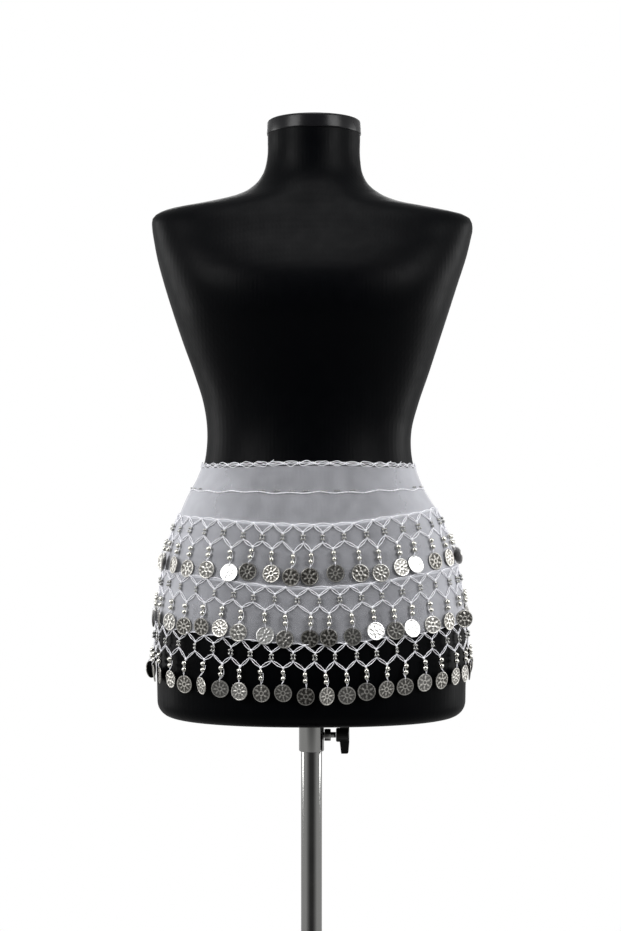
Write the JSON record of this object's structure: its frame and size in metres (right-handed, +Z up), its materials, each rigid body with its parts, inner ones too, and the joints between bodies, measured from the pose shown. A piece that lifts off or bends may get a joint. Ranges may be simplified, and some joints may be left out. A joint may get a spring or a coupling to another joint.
{
  "type": "belly dance hip belt on a limbless dress form",
  "caption": "Sheer cloth hip belt with crochet edging and hanging coin fringes, tied at the back of a limbless dress form on a height-adjustable pole with a round base.",
  "frame": {"origin": "centre of the base's underside, on the pole's axis", "axes": "+Z up along the pole, the form's front faces -Y, +X is to the right of someone facing the front"},
  "size_m": [0.3667, 0.3, 0.9758],
  "materials": {
    "base_steel": "black powder coat, satin",
    "chrome": "bright chrome plate",
    "jersey": "matte black stretch jersey",
    "cap_lacquer": "satin black",
    "knob_plastic": "moulded black",
    "chiffon": "sheer white chiffon",
    "crochet_thread": "twisted white thread",
    "coin_silver": "stamped antique silver tone, darker in the hollows"
  },
  "bodies": {
    "base": {"base_plate": "base_steel", "base_hub": "chrome"},
    "column": {"pole": "chrome"},
    "form": {"form_torso": "jersey", "neck_cap": "cap_lacquer", "pole_sleeve": "chrome", "clamp_boss": "chrome", "belt_panel": "chiffon", "top_edging": "crochet_thread", "upper_braid": "crochet_thread", "fringe_upper": "coin_silver", "fringe_middle": "coin_silver", "fringe_hem": "coin_silver", "tie_left": "chiffon", "tie_right": "chiffon", "tie_knot": "chiffon", "tail_left": "chiffon", "tail_right": "chiffon"},
    "clamp": {"clamp_screw": "chrome", "wing_knob": "knob_plastic"}
  },
  "joints": [
    {"name": "form_turn", "type": "hinge", "parent": "base", "child": "column", "pos_m": [0, 0, 0.02], "axis": [0, 0, 1], "continuous": true},
    {"name": "form_height", "type": "slide", "parent": "column", "child": "form", "axis": [0, 0, 1], "range_m": [-0.17, 0.09]},
    {"name": "clamp_turn", "type": "hinge", "parent": "form", "child": "clamp", "pos_m": [0.03, 0, 0.276], "axis": [1, 0, 0], "continuous": true}
  ]
}
